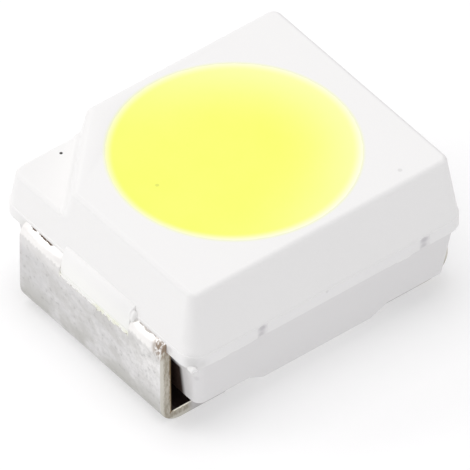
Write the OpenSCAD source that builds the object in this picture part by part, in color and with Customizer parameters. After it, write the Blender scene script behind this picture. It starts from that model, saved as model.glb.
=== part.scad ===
// Surface-mount light-emitting diode: a moulded two-lead package with an open reflector cup.
// The origin lies on the board, under the middle of the body. +X runs along the body from the
// cathode lead to the anode lead, and +Z is the way the light leaves.

/* [Body] */
// Length of the body at its parting line, from lead end to lead end
body_l = 3.18; // [3.0:0.02:3.6]
// Width of the body at its parting line
body_w = 2.8; // [2.7:0.02:3.2]
// Height of the light side above the board
body_top = 1.69; // [1.5:0.01:2.0]
// Height of the body's underside above the board
body_bottom = 0.31; // [0.24:0.01:0.4]
// Height of the parting line, level with the underside of the lead strip
parting_z = 0.89; // [0.8:0.01:1.0]
// Draft of the two end faces above the lead strip, in degrees
end_draft = 8.4; // [4:0.1:10]
// Draft of the two long sides above the lead strip, in degrees
side_draft = 9.5; // [4:0.1:10]
// Draft of the lower half's ends, in degrees
lower_end_draft = 6; // [3:0.1:9]
// Draft of the lower half's long sides, in degrees
lower_side_draft = 8; // [4:0.1:10]
// Set-back of the lower half's long sides under the parting line
side_step = 0.03; // [0.02:0.005:0.06]
// How far the moulded band along the lead strip stands out
band_out = 0.006; // [0.004:0.001:0.02]
// Radius of the upright corners at the top
corner_r_top = 0.09; // [0.05:0.01:0.15]
// Radius of the upright corners at the parting line
corner_r_parting = 0.18; // [0.1:0.01:0.25]
// Rounding of the edges round the light side
edge_r = 0.045; // [0.02:0.005:0.07]
// Bevel of the edges round the underside
under_bevel = 0.012; // [0.006:0.002:0.03]

/* [Polarity corner] */
// Length of the cut corner along each top edge
mark_leg = 0.805; // [0.6:0.005:0.85]
// Depth of the cut corner's ledge below the light side
mark_depth = 0.32; // [0.2:0.01:0.45]
// Draft of the cut corner's wall, in degrees
mark_draft = 13; // [5:1:18]
// Fillet where the cut corner's wall meets its ledge
mark_fillet = 0.055; // [0.02:0.005:0.1]

/* [Standoff] */
// Length of the standoff's flat underside
standoff_l = 1.24; // [0.8:0.02:1.4]
// Drop of the standoff below the body's underside
standoff_drop = 0.09; // [0.05:0.01:0.15]
// Length of each ramp that ends the standoff
standoff_ramp = 0.165; // [0.08:0.005:0.2]
// Distance of the standoff's middle from the body's middle, towards the cathode
standoff_shift = 0.045; // [0:0.005:0.08]

/* [Cup] */
// Diameter of the cup's mouth
cup_d = 2.34; // [2.1:0.01:2.4]
// Diameter of the cup's floor
cup_floor_d = 1.8; // [1.6:0.01:1.9]
// Drop of the filling's edge below the light side
fill_drop = 0.008; // [0.004:0.002:0.03]
// Further drop of the filling from its edge to its middle
fill_dish = 0.03; // [0.01:0.005:0.08]

/* [Leads] */
// Thickness of the lead strip
strip_t = 0.13; // [0.1:0.002:0.14]
// Width of each lead
lead_w = 2.07; // [1.9:0.01:2.2]
// How far the outer faces of the leads stand out from the ends of the body
lead_proud = 0.075; // [0.06:0.005:0.09]
// Clearance between a lead and the lower half's end at the parting line
lead_gap = 0.04; // [0.01:0.005:0.07]
// Outer radius of the bend that turns a lead down
bend_top_r = 0.18; // [0.15:0.01:0.22]
// Outer radius of the bend that turns a lead under the body
bend_foot_r = 0.24; // [0.18:0.01:0.3]
// Length of each foot from the lead's outer face to its tip
foot_l = 0.75; // [0.6:0.01:0.78]
// Width of the window in the upper bend
window_w = 1.0; // [0.8:0.02:1.2]
// Drop of the window's lower edge below the top of the lead strip
window_drop = 0.2; // [0.19:0.01:0.26]
// Reach of the window into the body
window_root = 0.1; // [0.06:0.01:0.14]
// Distance of the window's middle from the lead's middle
window_shift = 0.06; // [0:0.01:0.1]
// Height of the moulded lip in the window above the top of the lead strip
lip_rise = 0.09; // [0.04:0.01:0.12]
// Set-back of the moulded lip from the lead's outer face
lip_back = 0.012; // [0.005:0.001:0.03]

/* [Lead strip inside the body] */
// Distance from the body's middle to the inner edge of the cathode land
land_edge = 0.42; // [0.38:0.01:0.5]
// Gap between the two lands
land_gap = 0.18; // [0.12:0.01:0.2]
// Width of the tie bars that held the strip in its carrier
tie_w = 0.12; // [0.08:0.01:0.16]
// Distance of the cathode's tie bars from the body's middle
tie_x_cathode = 0.77; // [0.6:0.01:1.0]
// Distance of the anode's tie bars from the body's middle
tie_x_anode = 1.1; // [0.9:0.01:1.2]
// Depth of the cut tie bars in the long sides
tie_recess = 0.06; // [0.03:0.01:0.1]

/* [Die] */
// Length of the die
die_l = 0.58; // [0.4:0.01:0.6]
// Width of the die
die_w = 0.3; // [0.25:0.01:0.6]
// Height of the die
die_h = 0.14; // [0.1:0.01:0.2]
// Thickness of the adhesive under the die
attach_t = 0.015; // [0.01:0.005:0.03]
// Width of the adhesive that stands out round the die
attach_rim = 0.04; // [0.02:0.005:0.06]
// Diameter of the two bond pads on the die
pad_d = 0.11; // [0.09:0.01:0.13]
// Thickness of the bond pads
pad_t = 0.01; // [0.01:0.005:0.02]
// Distance of each bond pad's middle from the end of the die
pad_inset = 0.09; // [0.07:0.01:0.12]

/* [Bond wires] */
// Diameter of the bond wires
wire_d = 0.03; // [0.02:0.005:0.04]
// Diameter of the ball at the start of each wire
ball_d = 0.08; // [0.06:0.005:0.09]
// Height of the ball
ball_h = 0.025; // [0.02:0.005:0.03]
// Rise of each wire's loop above the die
loop_rise = 0.2; // [0.12:0.01:0.3]
// Distance from the end of the die to each wire's stitch
stitch_reach = 0.45; // [0.43:0.01:0.5]
// Thickness of the stitch
stitch_t = 0.012; // [0.01:0.002:0.02]

/* [Hidden] */
$fn = 48;

strip_top = parting_z + strip_t;
half_l = body_l / 2;
half_w = body_w / 2;
reach = half_l + lead_proud;
// Inner face of the upright part of a lead
lead_inside = reach - strip_t;
lower_half_l = lead_inside - lead_gap;
lower_half_w = half_w - side_step;
ledge_z = body_top - mark_depth;
window_z = strip_top - window_drop;
window_y = -window_shift;
die_z = strip_top + attach_t;
die_top = die_z + die_h;
bond_x = die_l / 2 - pad_inset;
stitch_x = die_l / 2 + stitch_reach;
tie_end_y = half_w - tie_recess;

corner_steps = 8;
edge_steps = 4;
fillet_steps = 5;
lip_steps = 10;
dish_steps = 8;
loop_steps = 18;
wire_sides = 10;
// Overrun of a cutting shape past the face that it opens
past = 0.05;

function arc(x, y, r, from, to, steps) =
    [for (i = [0 : steps]) let (a = from + (to - from) * i / steps) [x + r * cos(a), y + r * sin(a)]];

// Rectangle with round corners, counter-clockwise from the +X side
function outline(hl, hw, r) = concat(
    arc(hl - r, hw - r, r, 0, 90, corner_steps),
    arc(r - hl, hw - r, r, 90, 180, corner_steps),
    arc(r - hl, r - hw, r, 180, 270, corner_steps),
    arc(hl - r, r - hw, r, 270, 360, corner_steps));

// The same rectangle with its -X +Y corner cut at 45 degrees, cut from each side
function marked_outline(hl, hw, r, cut) = concat(
    arc(hl - r, hw - r, r, 0, 90, corner_steps),
    arc(cut - hl + r * tan(22.5), hw - r, r, 90, 135, corner_steps / 2),
    arc(r - hl, hw - cut - r * tan(22.5), r, 135, 180, corner_steps / 2),
    arc(r - hl, r - hw, r, 180, 270, corner_steps),
    arc(hl - r, r - hw, r, 270, 360, corner_steps));

function at_height(z, points) = [for (p = points) [p[0], p[1], z]];

// Solid skinned over rings of equally many points, each ring right-handed about the way they go
module skin(rings) {
    n = len(rings[0]);
    last = (len(rings) - 1) * n;
    sides = [for (k = [0 : n : last - n], i = [0 : n - 1])
        let (j = (i + 1) % n)
        each [[k + i, k + n + i, k + n + j], [k + i, k + n + j, k + j]]];
    ends = [[for (i = [0 : n - 1]) i], [for (i = [n - 1 : -1 : 0]) last + i]];
    polyhedron([for (ring = rings) each ring], concat(ends, sides));
}

// Half length, half width and corner radius of the upper half at height z
function upper_l(z) = half_l - band_out - tan(end_draft) * (z - strip_top);
function upper_w(z) = half_w - band_out - tan(side_draft) * (z - strip_top);
function upper_r(z) =
    corner_r_parting + (corner_r_top - corner_r_parting) * (z - strip_top) / (body_top - strip_top);

// Height above the start of a rounded edge, and its set-back there, at step i of the round
function round_up(i) = edge_r * sin(90 * i / edge_steps);
function round_in(i) = edge_r * (1 - cos(90 * i / edge_steps));

// Lower block of the upper half, with the band along the strip, up to the cut corner's ledge
module ledge_block() {
    start = ledge_z - edge_r;
    skin(concat(
        [for (z = [parting_z, strip_top]) at_height(z, outline(half_l, half_w, corner_r_parting))],
        [at_height(strip_top + band_out, outline(upper_l(strip_top + band_out),
            upper_w(strip_top + band_out), upper_r(strip_top + band_out)))],
        [for (i = [0 : edge_steps]) let (z = start + round_up(i), in = round_in(i))
            at_height(z, outline(upper_l(z) - in, upper_w(z) - in, upper_r(z) - in))]));
}

// Cut from each side at height z: the wall leans back with its draft and turns out in a fillet
function cut_line(z) = upper_l(body_top) + upper_w(body_top) - mark_leg
    + sqrt(2) * (tan(mark_draft) * (body_top - z) + fillet_out(z - ledge_z));
function fillet_out(h) = h > mark_fillet ? 0
    : mark_fillet - sqrt(pow(mark_fillet, 2) - pow(mark_fillet - max(h, 0), 2));
function marked_ring(z, in) = at_height(z, marked_outline(upper_l(z) - in, upper_w(z) - in,
    upper_r(z) - in, upper_l(z) + upper_w(z) - cut_line(z)));

// Upper block with the cut corner, from below the ledge to the light side
module marked_block() {
    skin(concat(
        [marked_ring(ledge_z - edge_r, 0)],
        [for (i = [0 : fillet_steps])
            marked_ring(ledge_z + mark_fillet * (1 - cos(90 * i / fillet_steps)), 0)],
        [for (i = [0 : edge_steps]) marked_ring(body_top - edge_r + round_up(i), round_in(i))]));
}

// Half width of the lower half at height z
function lower_w(z) = lower_half_w - tan(lower_side_draft) * (parting_z - z);

// Lower half of the body, with a small bevel under it
module lower_block() {
    function ring(z, in) = at_height(z, outline(
        lower_half_l - tan(lower_end_draft) * (parting_z - z) - in, lower_w(z) - in, corner_r_top));
    skin([ring(body_bottom, under_bevel), ring(body_bottom + under_bevel, 0), ring(parting_z, 0)]);
}

// Pad across the underside, with a ramp at each end, that follows the draft of the sides
module standoff() {
    low_z = body_bottom - standoff_drop;
    high_z = body_bottom + under_bevel;
    low_w = lower_w(low_z);
    high_w = lower_w(high_z);
    ramp_l = standoff_l / 2 + standoff_ramp;
    translate([-standoff_shift, 0, 0])
        intersection() {
            rotate([90, 0, 0])
                linear_extrude(2 * high_w, center = true)
                    polygon([[-standoff_l / 2, low_z], [standoff_l / 2, low_z], [ramp_l, body_bottom],
                        [ramp_l, high_z], [-ramp_l, high_z], [-ramp_l, body_bottom]]);
            rotate([90, 0, 90])
                linear_extrude(2 * ramp_l, center = true)
                    polygon([[-low_w, low_z], [low_w, low_z], [high_w, high_z], [-high_w, high_z]]);
        }
}

// Space of the cup up to height z at its edge, with the surface dished by dip
function cup_r(z) = (cup_floor_d + (cup_d - cup_floor_d) * (z - strip_top) / (body_top - strip_top)) / 2;
module cup_space(z, dip) {
    surface = [for (i = [0 : dish_steps]) let (f = 1 - i / dish_steps)
        [cup_r(z) * f, z - dip * (1 - pow(f, 2))]];
    rotate_extrude($fn = 96)
        polygon(concat([[0, strip_top], [cup_r(strip_top), strip_top]], surface));
}

// Quarter of a bent strip in the plane of its profile, in quadrant x, z, about its own centre
module bend(outer_r, x, z) {
    intersection() {
        difference() {
            circle(outer_r);
            circle(outer_r - strip_t);
        }
        translate([min(0, x * outer_r), min(0, z * outer_r)])
            square(outer_r);
    }
}

// Side profile of one lead, from the edge of its land to the tip of its foot, outwards along +X
module lead_profile(edge) {
    top_x = reach - bend_top_r;
    top_z = strip_top - bend_top_r;
    foot_x = reach - bend_foot_r;
    translate([edge, parting_z])
        square([top_x - edge, strip_t]);
    translate([top_x, top_z])
        bend(bend_top_r, 1, 1);
    translate([lead_inside, bend_foot_r])
        square([strip_t, top_z - bend_foot_r]);
    translate([foot_x, bend_foot_r])
        bend(bend_foot_r, 1, -1);
    translate([reach - foot_l, 0])
        square([foot_x - reach + foot_l, strip_t]);
}

// One stamped and bent lead with its land and two cut tie bars, outwards along +X
module lead(edge, tie_x) {
    difference() {
        rotate([90, 0, 0])
            linear_extrude(lead_w, center = true)
                lead_profile(edge);
        translate([half_l - window_root, window_y - window_w / 2, window_z])
            cube([reach, window_w, strip_t + window_drop]);
    }
    translate([tie_x - tie_w / 2, -tie_end_y, parting_z])
        cube([tie_w, 2 * tie_end_y, strip_t]);
}

module at_cathode() {
    mirror([1, 0, 0])
        children();
}

module cathode_form() {
    at_cathode()
        lead(-land_edge, tie_x_cathode);
}

module anode_form() {
    lead(land_edge + land_gap, tie_x_anode);
}

// Lip of moulding compound that swells from the end face and fills the window of a lead, along +X
module lip() {
    root = half_l - window_root;
    start = upper_l(strip_top + lip_rise) - band_out;
    swell = reach - lip_back - start;
    height = strip_top + lip_rise - window_z;
    face = [for (p = arc(0, 0, 1, 0, 90, lip_steps)) [start + swell * p[0], window_z + height * p[1]]];
    translate([0, window_y, 0])
        rotate([90, 0, 0])
            linear_extrude(window_w, center = true)
                polygon(concat([[root, window_z]], face, [[root, strip_top + lip_rise]]));
}

// Mouth over the end of each cut tie bar, on both long sides
module tie_pockets(x) {
    for (side = [-1, 1])
        translate([x - tie_w / 2, side > 0 ? tie_end_y : -half_w - past, parting_z])
            cube([tie_w, tie_recess + past, strip_t]);
}

module housing() {
    color("white")
        difference() {
            union() {
                ledge_block();
                marked_block();
                lower_block();
                standoff();
                lip();
                at_cathode()
                    lip();
            }
            cup_space(body_top, 0);
            translate([0, 0, body_top])
                cylinder(r = cup_r(body_top), h = past, $fn = 96);
            cathode_form();
            anode_form();
            tie_pockets(-tie_x_cathode);
            tie_pockets(tie_x_anode);
        }
}

module cathode_lead() {
    color("silver")
        cathode_form();
}

module anode_lead() {
    color("silver")
        anode_form();
}

// Film of adhesive under the die, squeezed out round it
module die_attach() {
    color("gainsboro")
        translate([0, 0, strip_top])
            linear_extrude(attach_t)
                polygon(outline(die_l / 2 + attach_rim, die_w / 2 + attach_rim, attach_rim));
}

module led_die() {
    color("lightsteelblue")
        translate([-die_l / 2, -die_w / 2, die_z])
            cube([die_l, die_w, die_h]);
}

module bond_pad(x) {
    color("gold")
        translate([x, 0, die_top])
            cylinder(d = pad_d, h = pad_t);
}

module anode_bond_pad() {
    bond_pad(bond_x);
}

module cathode_bond_pad() {
    bond_pad(-bond_x);
}

// Point of the wire's loop at share f of its way, from the ball to the stitch, outwards along +X
function loop_point(f) =
    let (low = strip_top + wire_d / 2, high = die_top + pad_t + ball_h / 2, g = 1 - f,
        crown = die_top + 1.6 * loop_rise)
    [bond_x * (pow(g, 3) + 3 * pow(g, 2) * f) + stitch_x * (0.75 * 3 * g * pow(f, 2) + pow(f, 3))
        + bond_x * 0.25 * 3 * g * pow(f, 2),
     high * pow(g, 3) + crown * 3 * pow(g, 2) * f + (low + loop_rise) * 3 * g * pow(f, 2) + low * pow(f, 3)];

// Ring of the wire's skin at share f of its way, square to it
function wire_ring(f) =
    let (p = loop_point(f), ahead = loop_point(f + 0.001) - loop_point(f - 0.001),
        t = ahead / norm(ahead), r = wire_d / 2)
    [for (i = [0 : wire_sides - 1]) let (a = 360 * i / wire_sides)
        [p[0] + r * cos(a) * t[1], r * sin(a), p[1] - r * cos(a) * t[0]]];

// One bond wire with the ball on its pad and the stitch on its land, outwards along +X
module bond_wire() {
    color("gold") {
        skin([for (i = [0 : loop_steps]) wire_ring(i / loop_steps)]);
        translate([bond_x, 0, die_top + pad_t])
            cylinder(d = ball_d, h = ball_h);
        translate([stitch_x, 0, strip_top])
            cylinder(d = 1.6 * wire_d, h = wire_d / 2 + stitch_t);
    }
}

module anode_bond_wire() {
    bond_wire();
}

module cathode_bond_wire() {
    at_cathode()
        bond_wire();
}

// Silicone with phosphor that fills the cup round the die and its wires
module phosphor_fill() {
    color("gold")
        difference() {
            cup_space(body_top - fill_drop, fill_dish);
            die_attach();
            led_die();
            anode_bond_pad();
            cathode_bond_pad();
            anode_bond_wire();
            cathode_bond_wire();
        }
}

housing();
cathode_lead();
anode_lead();
phosphor_fill();
die_attach();
led_die();
anode_bond_pad();
cathode_bond_pad();
anode_bond_wire();
cathode_bond_wire();
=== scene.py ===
import math

import bmesh
import bpy
import numpy as np
from mathutils import Matrix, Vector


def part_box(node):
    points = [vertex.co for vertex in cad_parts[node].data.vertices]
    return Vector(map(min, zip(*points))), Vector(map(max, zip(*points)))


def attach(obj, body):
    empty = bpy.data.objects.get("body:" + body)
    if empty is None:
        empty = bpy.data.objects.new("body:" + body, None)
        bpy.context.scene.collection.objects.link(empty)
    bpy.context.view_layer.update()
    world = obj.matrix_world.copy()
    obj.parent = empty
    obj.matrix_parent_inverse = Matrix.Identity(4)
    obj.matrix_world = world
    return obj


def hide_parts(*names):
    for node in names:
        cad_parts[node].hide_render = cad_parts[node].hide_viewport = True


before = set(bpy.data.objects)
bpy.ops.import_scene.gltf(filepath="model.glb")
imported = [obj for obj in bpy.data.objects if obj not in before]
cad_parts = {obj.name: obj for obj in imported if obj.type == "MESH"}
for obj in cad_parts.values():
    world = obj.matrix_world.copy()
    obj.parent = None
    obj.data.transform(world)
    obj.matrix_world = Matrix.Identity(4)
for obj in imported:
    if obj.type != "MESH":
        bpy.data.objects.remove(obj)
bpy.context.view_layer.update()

MM = 0.001
BODY = "root"

# Heights, reaches and radii in millimetres, read off the frame
fill_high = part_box("phosphor_fill")[1]
lead_low, lead_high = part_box("cathode_lead")
house_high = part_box("housing")[1]
CUP_R = float(fill_high[0]) / MM
FILL_TOP = float(fill_high[2]) / MM
TOP_Z = float(house_high[2]) / MM
STRIP_TOP = float(lead_high[2]) / MM
REACH = -float(lead_low[0]) / MM
HALF_W = float(house_high[1]) / MM

# Sizes in millimetres that the boxes don't give, as the part's source has them
HALF_L = 1.59
SIDE_STEP = 0.03
LOWER_DRAFT_DEG = 8
LEDGE_DEPTH = 0.32
STRIP_T = 0.13
BEND_R = 0.18
WINDOW_Y = -0.06
WINDOW_HALF = 0.5
WINDOW_DROP = 0.2
FILL_DISH = 0.03
TIE_X_CATHODE = -0.77
TIE_X_ANODE = 1.1

LEDGE_Z = TOP_Z - LEDGE_DEPTH
PARTING_Z = STRIP_TOP - STRIP_T
WINDOW_Z = STRIP_TOP - WINDOW_DROP
BEND_Z = STRIP_TOP - BEND_R
LEAD_INSIDE = REACH - STRIP_T

# Camera of the photograph, in degrees and millimetres: a long lens close to a parallel view
AZIMUTH = -38.13
ELEVATION = 43.46
ROLL = -0.11
PIXELS_PER_MM = 109.8
ORIGIN_PIXEL = (234.15, 286.59)
PICTURE_PIXELS = 470
CAMERA_DISTANCE = 190.0
SENSOR = 36.0

# Tones of the moulding compound and of the marks on it
COMPOUND = (0.886, 0.883, 0.872, 1)
COMPOUND_FLOW = (0.882, 0.879, 0.868, 1)
# Painted highlight of the window lips
LIP_HIGHLIGHT = (0.925, 0.925, 0.90, 1)
# Painted shade of the lower half
LOWER_SHADE = (0.765, 0.757, 0.756, 1)
# Painted shade, near black, on the ends behind the leads
END_SHADE_BLACK = (0.035, 0.02, 0.015, 1)
CUP_GLOW = (0.90, 0.96, 0.30, 1)
# Painted shade on the rounded end edges
EDGE_SHADE = (0.80, 0.795, 0.785, 1)
# Painted shade on the ledge's top
LEDGE_SHADE = (0.862, 0.859, 0.848, 1)
# Painted shade on the band
BAND_SHADE = (0.868, 0.864, 0.858, 1)
# Black of the specks and of the painted shadow spot
SPECK_AND_SHADOW_BLACK = (0.02, 0.018, 0.015, 1)
SMEAR_DARK = (0.80, 0.79, 0.79, 1)
SMEAR_LIGHT = (0.86, 0.855, 0.85, 1)
# Painted shade in the smears' hollows
HOLLOW_SHADE = (0.60, 0.585, 0.60, 1)

# Tones of the leads, their sheared edges, and the resin and soot on them
PLATE_DARK = (0.66, 0.653, 0.653, 1)
PLATE_LIGHT = (0.75, 0.742, 0.74, 1)
# Painted shade of the plating towards the left
PLATE_SHADE_LEFT = (0.61, 0.605, 0.603, 1)
# Painted highlight of the plating at the upper right
PLATE_HIGHLIGHT = (0.87, 0.86, 0.852, 1)
PLATE_MOTTLE = (0.58, 0.575, 0.565, 1)
PLATE_STAIN = (0.55, 0.54, 0.52, 1)
PLATE_WORN = (0.53, 0.525, 0.50, 1)
PLATE_PIT = (0.42, 0.41, 0.41, 1)
# Painted highlight on the bends
BEND_HIGHLIGHT = (0.92, 0.905, 0.885, 1)
TIE_END = (0.80, 0.79, 0.79, 1)
RAW_DARK = (0.37, 0.335, 0.27, 1)
RAW_LIGHT = (0.55, 0.515, 0.45, 1)
RAW_BRIGHT = (0.64, 0.62, 0.56, 1)
RAW_FOOT = (0.60, 0.585, 0.585, 1)
RIM_BROWN = (0.24, 0.17, 0.09, 1)
# Painted cream highlight on the foot's rim
FOOT_RIM_HIGHLIGHT = (0.95, 0.92, 0.80, 1)
# Painted shade inside the bend
INSIDE_SHADE_BLACK = (0.012, 0.007, 0.006, 1)
FILM_CREAM = (0.915, 0.915, 0.885, 1)
FILM_GREEN = (0.86, 0.87, 0.74, 1)
FILM_GRIT = (0.45, 0.40, 0.31, 1)
BURR_BROWN = (0.31, 0.24, 0.18, 1)
# Painted shade in the seam
SEAM_SHADE_BROWN = (0.10, 0.06, 0.035, 1)

# Tones of the silicone and of the pieces inside it
SILICONE = (0.945, 0.995, 0.152, 1)
SILICONE_CLOUD = (0.955, 1.0, 0.168, 1)
SILICONE_GRAIN = (0.925, 0.97, 0.145, 1)
# Painted light of the cup's wall seen through the thin silicone
SILICONE_WALL_LIGHT = (0.945, 0.98, 0.60, 1)
SILICONE_RIM = (1.0, 1.0, 0.86, 1)
SILICONE_SPECK = (0.25, 0.28, 0.05, 1)
GOLD_LIGHT = (0.95, 0.66, 0.25, 1)
GOLD_DARK = (0.85, 0.55, 0.18, 1)
CRYSTAL_DARK = (0.35, 0.45, 0.6, 1)
CRYSTAL_LIGHT = (0.45, 0.55, 0.68, 1)
ADHESIVE_LIGHT = (0.75, 0.75, 0.7, 1)
ADHESIVE_DARK = (0.65, 0.65, 0.6, 1)

# Marks on the compound, each with its middle, its radius and its depth of tone
SPECKS = (
    ((-1.035, 1.221, 1.371), 0.02, 1.0),
    ((1.026, -1.125, 1.69), 0.028, 0.14),
    ((-0.03, -1.396, 1.0), 0.022, 0.1),
)
# Smudges about the near front corner and the corner lump; the one at (-1.60, -1.09, 0.97) is a painted
# shadow in the gap between the cathode lead and the band.
SMUDGES_AND_SHADOWS = (
    ((-1.471, -1.40, 0.933), 0.09, 0.135),
    ((-1.60, -1.09, 0.97), 0.05, 0.165),
    ((-1.455, -1.30, 0.69), 0.045, 0.11),
    ((-1.40, -1.385, 0.93), 0.05, 0.055),
    ((-1.537, -1.347, 0.965), 0.12, 0.16),
)
# Strokes of painted shade in the seam along the bend, each with its middle, its half length and its depth of
# tone
SEAM_SHADE_STROKES = (
    (0.905, 0.055, 1.0),
    (0.73, 0.115, 1.0),
    (-0.77, 0.14, 0.6),
)
SILICONE_SPECK_AT = (-0.805, 0.098, 1.665)
BURR_AT = (-1.625, -1.02, 0.95)

# Mesh of the fine copies: weld and bevel in millimetres, angles in degrees
WELD = 0.0001
FLAT_DEG = 0.6
SHARP_DEG = 24.0
AREA_WEIGHT = 90
HOUSING_EDGE = 0.008
LEAD_EDGE = 0.012


def aim_camera():
    """Camera whose axis passes beside the row's origin so that the origin falls on its pixel."""
    a, e, roll = (math.radians(v) for v in (AZIMUTH, ELEVATION, ROLL))
    back = np.array([math.sin(a) * math.cos(e), -math.cos(a) * math.cos(e), math.sin(e)])
    level = np.array([math.cos(a), math.sin(a), 0.0])
    rise = np.cross(back, level)
    right = level * math.cos(roll) + rise * math.sin(roll)
    up = np.cross(back, right)
    middle = PICTURE_PIXELS / 2
    across = (ORIGIN_PIXEL[0] - middle) / PIXELS_PER_MM
    above = (middle - ORIGIN_PIXEL[1]) / PIXELS_PER_MM
    place = (back * CAMERA_DISTANCE - right * across - up * above) * MM
    data = bpy.data.cameras.new("camera")
    data.sensor_width = SENSOR
    data.lens = PIXELS_PER_MM * CAMERA_DISTANCE / PICTURE_PIXELS * SENSOR
    data.clip_start, data.clip_end = 0.01, 10.0
    camera = bpy.data.objects.new("camera", data)
    bpy.context.collection.objects.link(camera)
    rows = np.eye(4)
    rows[:3, 0], rows[:3, 1], rows[:3, 2], rows[:3, 3] = right, up, back, place
    camera.matrix_world = Matrix(rows.tolist())
    bpy.context.scene.camera = camera


def add_mesh(name, points, faces, smooth=True):
    """Mesh object at the origin from an array of points and a list of faces."""
    mesh = bpy.data.meshes.new(name)
    mesh.from_pydata(np.asarray(points).tolist(), [], [list(face) for face in faces])
    mesh.polygons.foreach_set("use_smooth", [smooth] * len(mesh.polygons))
    mesh.update()
    thing = bpy.data.objects.new(name, mesh)
    bpy.context.collection.objects.link(thing)
    return thing


class Nodes:
    """A material's node tree, with a short way to add linked nodes. Places and sizes are in millimetres."""

    # Sockets of a Mix node that carry colours
    MIX_FIRST, MIX_SECOND, MIX_RESULT = 6, 7, 2

    def __init__(self, name):
        self.material = bpy.data.materials.new(name)
        self.material.use_nodes = True
        self.tree = self.material.node_tree
        self.shader = self.tree.nodes["Principled BSDF"]
        coordinates = self.add("ShaderNodeTexCoord").outputs
        self.place, self.normal = coordinates["Object"], coordinates["Normal"]

    def add(self, kind, settings=None, **inputs):
        """New node. An input is named by its socket, with _ for a space, or by _ and its number."""
        node = self.tree.nodes.new(kind)
        for key, value in (settings or {}).items():
            setattr(node, key, value)
        for key, value in inputs.items():
            self.feed(node.inputs[int(key[1:]) if key[0] == "_" else key.replace("_", " ")], value)
        return node

    def feed(self, socket, value):
        """Links a socket to another, or gives it a plain value."""
        if isinstance(value, bpy.types.NodeSocket):
            self.tree.links.new(value, socket)
        else:
            socket.default_value = value

    def set(self, **values):
        """Feeds the shader's own sockets."""
        for key, value in values.items():
            self.feed(self.shader.inputs[key.replace("_", " ")], value)

    def math(self, operation, *values):
        node = self.add("ShaderNodeMath", {"operation": operation})
        for socket, value in zip(node.inputs, values):
            self.feed(socket, value)
        return node.outputs[0]

    def minus(self, first, second):
        return self.math("SUBTRACT", first, second)

    def unsigned(self, value):
        """The value without its sign."""
        return self.math("ABSOLUTE", value)

    def all_of(self, *shares):
        """Product of several masks."""
        product = shares[0]
        for share in shares[1:]:
            product = self.math("MULTIPLY", product, share)
        return product

    def any_of(self, *shares):
        """Largest of several masks."""
        largest = shares[0]
        for share in shares[1:]:
            largest = self.math("MAXIMUM", largest, share)
        return largest

    def shaken(self, value, noise, swing):
        """The value moved up and down by a noise, over a range as wide as swing."""
        return self.math("ADD", value, self.all_of(self.minus(noise, 0.5), swing))

    def stretched(self, scale, turn=(0, 0, 0)):
        return self.add("ShaderNodeMapping", Vector=self.place, Scale=scale, Rotation=turn).outputs[0]

    def noise(self, size, detail=3.0, roughness=0.5, vector=None):
        """Noise whose lumps are about as wide as size."""
        node = self.add("ShaderNodeTexNoise", Vector=vector or self.place, Scale=1 / (size * MM),
                        Detail=detail, Roughness=roughness)
        return node.outputs["Fac"]

    def ramp(self, value, low, high, start=0.0, end=1.0):
        """Smooth way from start to end while the value goes from low to high."""
        node = self.add("ShaderNodeMapRange", {"interpolation_type": "SMOOTHSTEP"}, Value=value,
                        From_Min=low, From_Max=high, To_Min=start, To_Max=end)
        return node.outputs[0]

    def mix(self, share, first, second):
        node = self.add("ShaderNodeMix", {"data_type": "RGBA"}, Factor=share)
        self.feed(node.inputs[self.MIX_FIRST], first)
        self.feed(node.inputs[self.MIX_SECOND], second)
        return node.outputs[self.MIX_RESULT]

    def parts(self, vector):
        """The three parts of a vector."""
        return tuple(self.add("ShaderNodeSeparateXYZ", Vector=vector).outputs)

    def axes(self):
        """The three coordinates in millimetres."""
        return tuple(self.math("DIVIDE", part, MM) for part in self.parts(self.place))

    def plan_radius(self):
        """Distance in millimetres from the cup's upright axis."""
        flat = self.add("ShaderNodeVectorMath", {"operation": "MULTIPLY"}, _0=self.place, _1=(1, 1, 0))
        length = self.add("ShaderNodeVectorMath", {"operation": "LENGTH"}, _0=flat.outputs[0])
        return self.math("DIVIDE", length.outputs["Value"], MM)

    def spot(self, centre, radius, soft=0.5):
        """1 inside a small ball about a point, falling to 0 over its soft rim."""
        middle = tuple(c * MM for c in centre)
        gap = self.add("ShaderNodeVectorMath", {"operation": "DISTANCE"}, _0=self.place, _1=middle)
        return self.ramp(gap.outputs["Value"], radius * MM, radius * (1 - soft) * MM)

    def bump(self, height, depth, strength=1.0, before=None):
        """Bump of a height between 0 and 1 over a depth, on top of the bump before it."""
        node = self.add("ShaderNodeBump", Height=height, Distance=depth * MM, Strength=strength)
        if before:
            self.feed(node.inputs["Normal"], before)
        return node.outputs[0]


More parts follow.
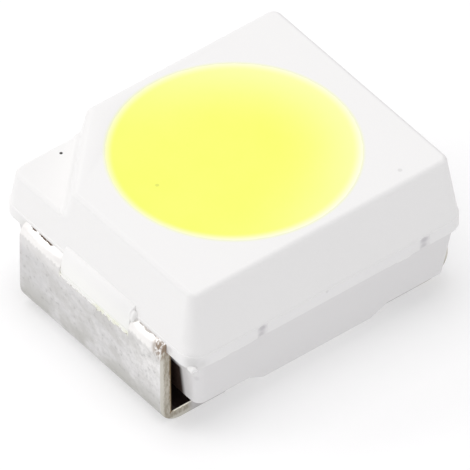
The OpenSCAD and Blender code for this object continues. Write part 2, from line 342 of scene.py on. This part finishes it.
def compound_tone(n, x, y, z, facing, painted_shade_share):
    """Tone of the compound: faint flow marks, painted highlight on the lips in the windows, painted shade on
    the lower half, near black painted shade on the ends behind the leads, a yellow glow round the cup,
    painted shade on the rounded end edges, and painted shade on the polarity corner's ledge and on the band."""
    out = n.unsigned(x)
    flowed = n.mix(n.ramp(n.noise(0.9, 2.0), 0.35, 0.7), COMPOUND, COMPOUND_FLOW)
    # Painted highlight: the lips in the windows, their shaded sides too, are painted lighter than the
    # compound.
    lip = n.all_of(n.ramp(n.unsigned(n.minus(y, WINDOW_Y)), WINDOW_HALF + 0.06, WINDOW_HALF + 0.04),
                   n.ramp(z, STRIP_TOP + 0.06, STRIP_TOP - 0.12), n.ramp(z, WINDOW_Z - 0.01, WINDOW_Z),
                   n.ramp(out, HALF_L + 0.002, HALF_L + 0.015))
    lip_highlighted = n.mix(lip, flowed, LIP_HIGHLIGHT)
    # Painted shade: the lower half, below the parting line and outside the lips, is painted greyer.
    below = n.all_of(n.ramp(z, PARTING_Z + 0.004, PARTING_Z - 0.04), painted_shade_share)
    dimmed = n.mix(n.all_of(below, n.minus(1.0, lip)), lip_highlighted, LOWER_SHADE)
    # Painted shade: the end faces behind the leads, in the narrow gap beside the bend, are painted near
    # black.
    behind_lead = n.all_of(n.ramp(n.unsigned(facing[0]), 0.6, 0.8), n.ramp(z, 0.71, 0.66),
                           n.ramp(n.unsigned(y), 1.13, 1.06), n.ramp(out, 1.4, 1.43),
                           n.ramp(out, 1.52, 1.51))
    end_shaded = n.mix(behind_lead, dimmed, END_SHADE_BLACK)
    glow = n.all_of(n.ramp(n.plan_radius(), CUP_R + 0.04, CUP_R - 0.04),
                    n.ramp(z, TOP_Z - 0.09, TOP_Z - 0.01))
    lit = n.mix(glow, end_shaded, CUP_GLOW)
    # Painted shade: the rounded edges between the end faces and the top are painted a little darker, against
    # their highlight.
    end_edge = n.all_of(n.unsigned(facing[0]), n.unsigned(facing[2]))
    edge_shaded = n.mix(n.all_of(n.ramp(end_edge, 0.15, 0.4), n.ramp(z, 1.1, 1.2), 0.5), lit, EDGE_SHADE)
    # Painted shade: the top of the polarity corner's ledge is painted a little darker.
    ledge = n.all_of(n.ramp(facing[2], 0.9, 0.97), n.ramp(z, LEDGE_Z + 0.08, LEDGE_Z + 0.03),
                     n.ramp(z, LEDGE_Z - 0.07, LEDGE_Z - 0.03))
    ledge_shaded = n.mix(ledge, edge_shaded, LEDGE_SHADE)
    # Painted shade: the band between the parting line and the strip's top, on the long sides, is painted a
    # little darker.
    band = n.all_of(n.ramp(n.unsigned(facing[1]), 0.8, 0.95), n.ramp(z, STRIP_TOP + 0.03, STRIP_TOP - 0.01),
                    n.ramp(z, PARTING_Z - 0.005, PARTING_Z + 0.005))
    return n.mix(n.all_of(band, painted_shade_share), ledge_shaded, BAND_SHADE)


def moulded_white(name, painted_shade_share):
    """Satin white compound with a fine grain, its own tones and painted light, a few small dark specks, and
    smudges, one of them a painted shadow. The share given says how much the painted shade of the lower half
    and of the band, and the smudges, show."""
    n = Nodes(name)
    x, y, z = n.axes()
    tone = compound_tone(n, x, y, z, n.parts(n.normal), painted_shade_share)
    specks = [n.all_of(n.spot(centre, radius), depth) for centre, radius, depth in SPECKS]
    # Smudges and a painted shadow spot, scaled by the painted shade share.
    smudges_and_shadows = [n.all_of(n.spot(centre, radius, 0.9), depth * painted_shade_share) for centre, radius, depth in SMUDGES_AND_SHADOWS]
    grain = n.noise(0.03)
    n.set(Base_Color=n.mix(n.any_of(*specks, *smudges_and_shadows), tone, SPECK_AND_SHADOW_BLACK))
    n.set(Roughness=n.ramp(grain, 0.3, 0.7, 0.46, 0.6), Specular_IOR_Level=0.2)
    n.set(Normal=n.bump(grain, 0.0012))
    return n.material


def rolled_plating(n, y, z, streaks):
    """Tone of the plated faces. Fine streaks run across; painted shade darkens the tone to the left and a
    painted highlight lifts it at the upper right, and it is broken by mottling, stains, a worn lower part
    and small pits."""
    streaked = n.mix(n.ramp(streaks, 0.32, 0.68), PLATE_DARK, PLATE_LIGHT)
    # Painted shade darkens the plating to the left, and a painted highlight lifts it at the upper right.
    shaded_left = n.mix(n.ramp(y, 0.3, 0.9, 0, 0.5), streaked, PLATE_SHADE_LEFT)
    highlit_upper_right = n.mix(n.all_of(n.ramp(z, 0.15, 0.8), n.ramp(y, -0.2, -1.0)), shaded_left, PLATE_HIGHLIGHT)
    mottled = n.mix(n.ramp(n.noise(0.05, 3.0, 0.6), 0.4, 0.62, 0, 0.35), highlit_upper_right, PLATE_MOTTLE)
    blotches = n.noise(0.2, 5.0, 0.65, n.stretched((1, 0.6, 1)))
    stained = n.mix(n.ramp(blotches, 0.44, 0.64, 0, 0.55), mottled, PLATE_STAIN)
    low_wear = n.all_of(n.ramp(z, 0.5, 0.15), n.ramp(n.noise(0.4), 0.4, 0.6))
    worn = n.mix(low_wear, stained, PLATE_WORN)
    return n.mix(n.ramp(n.noise(0.05, 2.0, 0.6), 0.62, 0.70, 0, 0.4), worn, PLATE_PIT)


def raw_metal(n, out, depth, marks):
    """Tone of a sheared edge by its depth, the way out from the strip's inner face: a rim, brown on the
    upright and a painted cream highlight on the foot, then grey-brown metal, then brighter metal along the
    outer face. Far under the body the foot's edge has one plain tone."""
    rough_depth = n.shaken(depth, marks, 0.05)
    raw = n.mix(n.ramp(marks, 0.36, 0.64), RAW_DARK, RAW_LIGHT)
    bright = n.mix(n.ramp(rough_depth, 0.07, 0.1), raw, RAW_BRIGHT)
    # Painted highlight: the rim along the foot is painted cream; on the upright it stays brown.
    rim = n.mix(n.ramp(out, LEAD_INSIDE, LEAD_INSIDE - 0.03), RIM_BROWN, FOOT_RIM_HIGHLIGHT)
    rimmed = n.mix(n.ramp(rough_depth, 0.03, 0.01), bright, rim)
    return n.mix(n.ramp(out, 1.36, 1.28), rimmed, RAW_FOOT)


def resin_bleed(n, y, z, out, sheared):
    """Mask and tone of the resin that crept from the window, with a ragged lower edge, over the outer face
    and up the window's own walls."""
    ragged = n.minus(n.noise(0.045, 3.0, 0.6), n.ramp(z, WINDOW_Z + 0.004, WINDOW_Z - 0.075, 0, 0.45))
    low = n.all_of(n.ramp(ragged, 0.30, 0.34), n.ramp(z, WINDOW_Z + 0.03, WINDOW_Z + 0.02),
                   n.ramp(n.unsigned(n.minus(y, WINDOW_Y)), WINDOW_HALF + 0.02, WINDOW_HALF - 0.01))
    walls = n.all_of(sheared, n.ramp(n.unsigned(y), WINDOW_HALF + 0.15, WINDOW_HALF + 0.1),
                     n.ramp(z, WINDOW_Z + 0.01, WINDOW_Z + 0.02))
    bleed = n.all_of(n.any_of(low, walls), n.ramp(out, REACH - 0.09, REACH - 0.075))
    film = n.mix(n.ramp(n.noise(0.2), 0.5, 0.62), FILM_CREAM, FILM_GREEN)
    grit = n.all_of(n.ramp(n.noise(0.03, 2.0), 0.57, 0.62), n.ramp(ragged, 0.44, 0.36))
    return bleed, n.mix(grit, film, FILM_GRIT)


def seam_shade_mask(n, y, z, out):
    """Mask of the short strokes of painted shade in the seam between the bend and the body."""
    wander = n.math("ADD", out, n.ramp(n.noise(0.09, 3.0, 0.7), 0.3, 0.7, -0.008, 0.008))
    strokes = [n.all_of(n.ramp(n.unsigned(n.minus(y, middle)), half, half - 0.03), depth)
               for middle, half, depth in SEAM_SHADE_STROKES]
    return n.all_of(n.ramp(wander, HALF_L + 0.014, HALF_L + 0.009), n.ramp(wander, HALF_L - 0.01, HALF_L),
                    n.ramp(z, 0.95, 0.96), n.any_of(*strokes), n.ramp(n.noise(0.05, 2.0, 0.6), 0.30, 0.42))


def plated_silver():
    """Matt silver plating with fine rolling marks and blotches, with a painted highlight where it is bent.
    The sheared edges are raw and brown, cream where a painted highlight runs along the foot's rim, the
    inside of the bend is painted black as shade, thin resin bleeds from the window, a burr stands at the
    near end of the bend, and painted shade lies in strokes in the seam."""
    n = Nodes("plated_silver")
    x, y, z = n.axes()
    out = n.unsigned(x)
    facing = n.parts(n.normal)
    streaks = n.noise(0.06, 4.0, 0.6, n.stretched((1.2, 0.5, 1.2)))
    marks = n.noise(0.035, 4.0, 0.7, n.stretched((1, 1, 0.35)))
    depth = n.any_of(n.minus(out, LEAD_INSIDE), n.minus(STRIP_T, z))
    sheared = n.ramp(n.unsigned(facing[1]), 0.7, 0.95)

    # Painted highlight: the bend, where it turns up towards the light, and a fading share below it, are
    # painted bright.
    bend = n.all_of(n.ramp(n.shaken(facing[2], marks, 0.5), 0.04, 0.3), n.ramp(z, BEND_Z - 0.04, BEND_Z))
    fading = n.all_of(n.ramp(z, BEND_Z - 0.14, BEND_Z), n.ramp(y, -0.5, 0.3), 0.4)
    bend_highlighted = n.mix(n.any_of(bend, fading), rolled_plating(n, y, z, streaks), BEND_HIGHLIGHT)
    tie_ends = n.mix(n.all_of(sheared, n.ramp(out, 1.3, 1.25)), bend_highlighted, TIE_END)
    edge = n.all_of(sheared, n.ramp(out, 0.85, 0.9), n.any_of(n.ramp(out, 1.40, 1.44), n.ramp(z, 0.4, 0.35)),
                    n.ramp(n.unsigned(y), WINDOW_HALF + 0.1, WINDOW_HALF + 0.15))
    edged = n.mix(edge, tie_ends, raw_metal(n, out, depth, marks))
    # Painted shade: the inner faces of the bend, under the parting line, are painted black.
    inside = n.all_of(n.ramp(depth, 0.006, 0.002), n.ramp(z, PARTING_Z, PARTING_Z - 0.02))
    shaded = n.mix(inside, edged, INSIDE_SHADE_BLACK)

    bleed, film = resin_bleed(n, y, z, out, sheared)
    smear = n.noise(0.045, 3.0, 0.55, n.stretched((1, 1, 0.5), (0.5, 0, 0)))
    burr = n.all_of(n.spot(BURR_AT, 0.16, 0.6), n.ramp(smear, 0.37, 0.52))
    # Painted shade: short dark strokes in the seam between the bend and the body.
    seam_shade = seam_shade_mask(n, y, z, out)
    scorched = n.mix(burr, n.mix(bleed, shaded, film), BURR_BROWN)
    n.set(Base_Color=n.mix(seam_shade, scorched, SEAM_SHADE_BROWN))

    dimmed = n.any_of(bleed, seam_shade, n.all_of(burr, 0.6), inside)
    n.set(Metallic=n.minus(1.0, dimmed))
    # The painted shade inside the bend also gives up most of its reflection.
    n.set(Specular_IOR_Level=n.minus(0.5, n.all_of(inside, 0.45)))
    n.set(Roughness=n.any_of(n.ramp(streaks, 0.2, 0.8, 0.36, 0.48), n.all_of(dimmed, 0.6)))
    waves = n.bump(n.noise(0.16), 0.004, 0.4)
    n.set(Normal=n.bump(streaks, 0.0012, 0.6, n.bump(bleed, 0.006, 1.0, waves)))
    return n.material


def phosphor_silicone():
    """Smooth yellow silicone, clouded by its grains, painted paler where it thins over the cup's far wall,
    as light from the white wall seen through it, and almost white where it wets the rim, a little further in
    on the near side."""
    n = Nodes("phosphor_silicone")
    x, y, _ = n.axes()
    radius = n.plan_radius()
    clouded = n.mix(n.ramp(n.noise(0.5), 0.3, 0.7), SILICONE, SILICONE_CLOUD)
    grained = n.mix(n.ramp(n.noise(0.018, 2.0), 0.45, 0.7, 0, 0.4), clouded, SILICONE_GRAIN)
    # Painted light: the thin silicone is painted paler on the far side, where the white wall shows through.
    far_side = n.ramp(n.math("DIVIDE", x, n.math("MAXIMUM", radius, 0.01)), -0.9, 0.9, 0.02, 1.0)
    thin = n.math("POWER", n.ramp(radius, 0.35, 1.35), 1.3)
    wall_lit = n.mix(n.all_of(thin, far_side, 0.62), grained, SILICONE_WALL_LIGHT)
    wetted = n.math("ADD", radius, n.ramp(y, 0.0, -1.1, 0.0, 0.02))
    rimmed = n.mix(n.ramp(wetted, CUP_R - 0.08, CUP_R + 0.055), wall_lit, SILICONE_RIM)
    speck = n.all_of(n.spot(SILICONE_SPECK_AT, 0.024), 0.25)
    n.set(Base_Color=n.mix(speck, rimmed, SILICONE_SPECK), Roughness=0.4)
    n.set(Normal=n.bump(n.noise(0.15), 0.001, 0.5))
    return n.material


def smeared_compound():
    """Grey-white compound, painted darker in its hollows as shade."""
    n = Nodes("smeared_compound")
    _, y, _ = n.axes()
    # Painted shade: the hollows of the dents are painted darker.
    hollow = n.ramp(n.unsigned(y), HALF_W - 0.002, HALF_W - 0.014)
    tone = n.mix(n.noise(0.04), SMEAR_DARK, SMEAR_LIGHT)
    n.set(Base_Color=n.mix(n.all_of(hollow, 0.85), tone, HOLLOW_SHADE))
    n.set(Roughness=n.ramp(n.noise(0.02), 0.3, 0.7, 0.5, 0.65))
    return n.material


def gold():
    """Drawn gold with a faint grain."""
    n = Nodes("gold")
    n.set(Base_Color=n.mix(n.noise(0.02), GOLD_LIGHT, GOLD_DARK), Metallic=1.0)
    n.set(Roughness=n.ramp(n.noise(0.01), 0.3, 0.7, 0.2, 0.35))
    return n.material


def crystal():
    """Pale blue crystal of the die with sawn sides."""
    n = Nodes("crystal")
    n.set(Base_Color=n.mix(n.noise(0.05), CRYSTAL_DARK, CRYSTAL_LIGHT))
    n.set(Roughness=n.ramp(n.noise(0.02), 0.3, 0.7, 0.1, 0.3))
    return n.material


def cured_adhesive():
    """Milky cured adhesive."""
    n = Nodes("cured_adhesive")
    n.set(Base_Color=n.mix(n.noise(0.05), ADHESIVE_LIGHT, ADHESIVE_DARK))
    n.set(Roughness=n.ramp(n.noise(0.03), 0.3, 0.7, 0.25, 0.4))
    return n.material


def fine_copy(node, look, edge):
    """The node's own surface welded, its flat faces made whole, its edges eased by a small bevel, and its
    normals weighted by area so that the flat faces shade flat. It stands for the node."""
    mesh = bpy.data.meshes.new(node + "_fine")
    form = bmesh.new()
    form.from_mesh(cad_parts[node].data)
    bmesh.ops.remove_doubles(form, verts=form.verts, dist=WELD * MM)
    bmesh.ops.dissolve_degenerate(form, dist=WELD * MM, edges=form.edges)
    bmesh.ops.dissolve_limit(form, angle_limit=math.radians(FLAT_DEG), verts=form.verts, edges=form.edges)
    form.to_mesh(mesh)
    form.free()
    mesh.polygons.foreach_set("use_smooth", [True] * len(mesh.polygons))
    mesh.materials.append(look)
    thing = bpy.data.objects.new(node + "_fine", mesh)
    bpy.context.collection.objects.link(thing)
    bevel = thing.modifiers.new("eased_edges", "BEVEL")
    bevel.width = edge * MM
    bevel.segments = 2
    bevel.limit_method = "ANGLE"
    bevel.angle_limit = math.radians(SHARP_DEG)
    flat = thing.modifiers.new("flat_faces", "WEIGHTED_NORMAL")
    flat.mode = "FACE_AREA"
    flat.weight = AREA_WEIGHT
    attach(thing, BODY)
    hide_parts(node)
    return thing


def finish_node(node, look):
    """Gives a solid of the frame its material."""
    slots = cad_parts[node].data.materials
    slots.clear()
    slots.append(look)


def add_piece(name, points, faces, look):
    """New piece of the part, from points in millimetres."""
    piece = add_mesh(name, np.asarray(points) * MM, faces)
    piece.data.materials.append(look)
    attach(piece, BODY)


def grid_faces(rows, columns, closed=False):
    """Four-sided faces of a grid of points; a closed grid joins its last column to its first."""
    across = columns if closed else columns - 1
    r, c = np.meshgrid(np.arange(rows - 1), np.arange(across), indexing="ij")
    a, b = r * columns + c, r * columns + (c + 1) % columns
    return np.stack([a, b, b + columns, a + columns], -1).reshape(-1, 4)


def add_silicone_skin(look):
    """Free surface of the silicone. Its height grows with the square of the radius, as the fill's own
    dish does, a hair above it, and near the cup it is drawn up by the square of the way to the rim, so it
    leaves the dish smoothly and ends just under the top face. A fan of triangles closes the middle."""
    above_fill, under_top = 0.0008, 0.0012
    inner, start, outer = 0.04, CUP_R - 0.16, CUP_R + 0.0065
    dished = np.linspace(inner, start, 15, endpoint=False)
    radius = np.concatenate([dished, np.linspace(start, outer, 16)])[:, None]
    turn = np.linspace(0, 2 * math.pi, 192, endpoint=False)[None, :]
    dish = FILL_TOP - FILL_DISH * (1 - (radius / CUP_R) ** 2)
    climb = TOP_Z - under_top - dish[-1]
    height = dish + above_fill + climb * np.clip((radius - start) / (outer - start), 0, 1) ** 2
    points = np.stack(np.broadcast_arrays(radius * np.cos(turn), radius * np.sin(turn), height), -1)
    points = np.vstack([points.reshape(-1, 3), [0, 0, float(height[0, 0])]])
    middle = np.full(turn.size, len(points) - 1)
    ring = np.arange(turn.size)
    fan = np.stack([middle, ring, np.roll(ring, -1)], -1)
    faces = grid_faces(len(radius), turn.size, closed=True)[:, ::-1].tolist() + fan.tolist()
    add_piece("silicone_skin", points, faces, look)


def add_parting_flash(name, first, last, deepest, phase, look):
    """Flash under the parting line of the near long side, from x = first to x = last. Along it the drop is
    an uneven swell, a sum of three sines under a half-sine that brings it to nothing at both ends. Across,
    the surface is a quarter ellipse from the band's edge down to the drafted lower side. It starts a hair
    inside the band and ends a hair outside the lower side."""
    hair = 0.0005
    draft = math.tan(math.radians(LOWER_DRAFT_DEG))
    along = np.linspace(0, 1, 97)[:, None]
    swell = (1 + 0.35 * np.sin(9 * along + phase) + 0.2 * np.sin(23 * along + 2 * phase)
             + 0.1 * np.sin(51 * along)) / 1.4
    drop = deepest * np.sin(math.pi * along) ** 0.6 * swell
    turn = np.linspace(0, math.pi / 2, 9)[None, :]
    fall = drop * np.sin(turn)
    out = (SIDE_STEP - 3 * hair) * np.cos(turn) * np.ones_like(drop)
    y = -(HALF_W - SIDE_STEP - draft * fall + out + hair)
    z = PARTING_Z + 2 * hair - fall
    x = (first + (last - first) * along) * np.ones_like(y)
    points = np.stack([x, y, z], -1).reshape(-1, 3)
    add_piece(name, points, grid_faces(len(along), turn.size), look)


def add_tie_smear(name, x_mid, side, look):
    """Compound smeared over the sheared end of a tie bar. The patch is a flat sheet just inside the long
    side, pressed in by two dents one above the other, whose depth falls off as a bell curve."""
    half_wide, inset = 0.07, 0.0015
    dent_wide, dent_high = 0.045, 0.034
    dents_at = ((0.0, 0.09, 0.014), (-0.01, 0.02, 0.011))
    across = np.linspace(-half_wide, half_wide, 29)[:, None]
    up = np.linspace(0, STRIP_T, 27)[None, :]
    dents = sum(deep * np.exp(-((across - a) / dent_wide) ** 2 - ((up - b) / dent_high) ** 2)
                for a, b, deep in dents_at)
    y = side * (HALF_W - inset - dents)
    x = x_mid + across * np.ones_like(up)
    z = PARTING_Z + up * np.ones_like(across)
    points = np.stack([x, y, z], -1).reshape(-1, 3)
    add_piece(name, points, grid_faces(across.size, up.size)[:, ::side], look)


def add_lump(name, target, radii, look, carrier):
    """Small moulding lump: an ellipsoid whose radius is swollen by two products of sines of its angles, with
    its middle on the carrier's surface nearest to a point."""
    bpy.context.view_layer.update()
    middle = carrier.closest_point_on_mesh(tuple(v * MM for v in target))[1]
    polar = np.linspace(0, math.pi, 17)[:, None]
    turn = np.linspace(0, 2 * math.pi, 32, endpoint=False)[None, :]
    swell = 1 + 0.12 * np.sin(3 * turn) * np.sin(2 * polar) + 0.08 * np.sin(5 * turn + 1) * np.sin(polar)
    ball = np.stack([swell * np.sin(polar) * np.cos(turn), swell * np.sin(polar) * np.sin(turn),
                     swell * np.cos(polar) * np.ones_like(turn)], -1).reshape(-1, 3)
    points = np.array(middle) / MM + ball * np.array(radii)
    add_piece(name, points, grid_faces(polar.size, turn.size, closed=True)[:, ::-1], look)


def add_floor():
    """Plain pale floor under the feet, lit a little from within as a light table is."""
    half = 250 * MM
    floor = add_mesh("floor", [(-half, -half, 0), (half, -half, 0), (half, half, 0), (-half, half, 0)],
                     [(0, 1, 2, 3)], smooth=False)
    n = Nodes("floor_white")
    n.set(Base_Color=(0.62, 0.62, 0.62, 1), Roughness=0.9, Specular_IOR_Level=0.1)
    n.set(Emission_Color=(1, 1, 1, 1), Emission_Strength=0.4)
    floor.data.materials.append(n.material)


def add_light(name, direction, along, distance, length, width, power):
    """Rectangular soft light that looks at the middle of the part, its long side turned towards along. Its
    distance and its sides are in millimetres."""
    aim_height = 0.8
    back = np.array(direction) / np.linalg.norm(direction)
    side = np.array(along) - back * np.dot(along, back)
    side = side / np.linalg.norm(side)
    data = bpy.data.lights.new(name, "AREA")
    data.shape = "RECTANGLE"
    data.size, data.size_y = length * MM, width * MM
    data.energy = power
    data.color = (1.0, 0.995, 0.98)
    lamp = bpy.data.objects.new(name, data)
    bpy.context.collection.objects.link(lamp)
    rows = np.eye(4)
    rows[:3, 0], rows[:3, 1], rows[:3, 2] = side, np.cross(back, side), back
    rows[:3, 3] = (back * distance + np.array([0, 0, aim_height])) * MM
    lamp.matrix_world = Matrix(rows.tolist())


def add_tent():
    """White tent round the part, a little brighter towards the left."""
    brightness, slope_along_x = 0.66, -0.05
    world = bpy.data.worlds.new("studio")
    world.use_nodes = True
    tree = world.node_tree
    background = tree.nodes["Background"]
    background.inputs["Color"].default_value = (0.985, 0.974, 1.0, 1)
    axes = tree.nodes.new("ShaderNodeSeparateXYZ")
    tree.links.new(tree.nodes.new("ShaderNodeTexCoord").outputs["Generated"], axes.inputs[0])
    slope = tree.nodes.new("ShaderNodeMath")
    slope.operation = "MULTIPLY_ADD"
    slope.inputs[1].default_value, slope.inputs[2].default_value = slope_along_x, brightness
    tree.links.new(axes.outputs["X"], slope.inputs[0])
    tree.links.new(slope.outputs[0], background.inputs["Strength"])
    bpy.context.scene.world = world


bpy.context.scene.view_settings.view_transform = "Standard"
aim_camera()
add_floor()
add_tent()
add_light("overhead", direction=(0, 0.04, 1), along=(1, 0, 0), distance=40, length=30, width=30,
          power=0.0052)
add_light("strip", direction=(-0.6, 0.571, 0.561), along=(0.72, 0, 0.77), distance=40, length=35, width=10,
          power=0.0036)

# The compound with its painted shade, and a copy without the painted shade of the lower half, band and
# smudges for the flash and the lumps.
white = moulded_white("moulded_white", painted_shade_share=0.9)
unshaded_white = moulded_white("flash_white", painted_shade_share=0.0)
silver = plated_silver()
silicone = phosphor_silicone()
smeared = smeared_compound()
wire_gold = gold()

housing = fine_copy("housing", white, HOUSING_EDGE)
for node in ("cathode_lead", "anode_lead"):
    fine_copy(node, silver, LEAD_EDGE)
finish_node("phosphor_fill", silicone)
finish_node("die_attach", cured_adhesive())
finish_node("led_die", crystal())
for node in ("anode_bond_pad", "cathode_bond_pad", "anode_bond_wire", "cathode_bond_wire"):
    finish_node(node, wire_gold)

add_silicone_skin(silicone)
add_parting_flash("parting_flash_left", first=-1.40, last=-0.845, deepest=0.045, phase=0.0, look=unshaded_white)
add_parting_flash("parting_flash_right", first=0.637, last=1.03, deepest=0.05, phase=2.0, look=unshaded_white)
for side_name, side in (("front", -1), ("back", 1)):
    add_tie_smear("tie_smear_cathode_" + side_name, TIE_X_CATHODE, side, smeared)
    add_tie_smear("tie_smear_anode_" + side_name, TIE_X_ANODE, side, smeared)
add_lump("corner_lump", target=(-1.535, -1.35, 0.885), radii=(0.045, 0.045, 0.03), look=unshaded_white,
         carrier=housing)
add_lump("lip_flash", target=(-1.595, -0.555, 0.995), radii=(0.045, 0.045, 0.075), look=unshaded_white,
         carrier=housing)
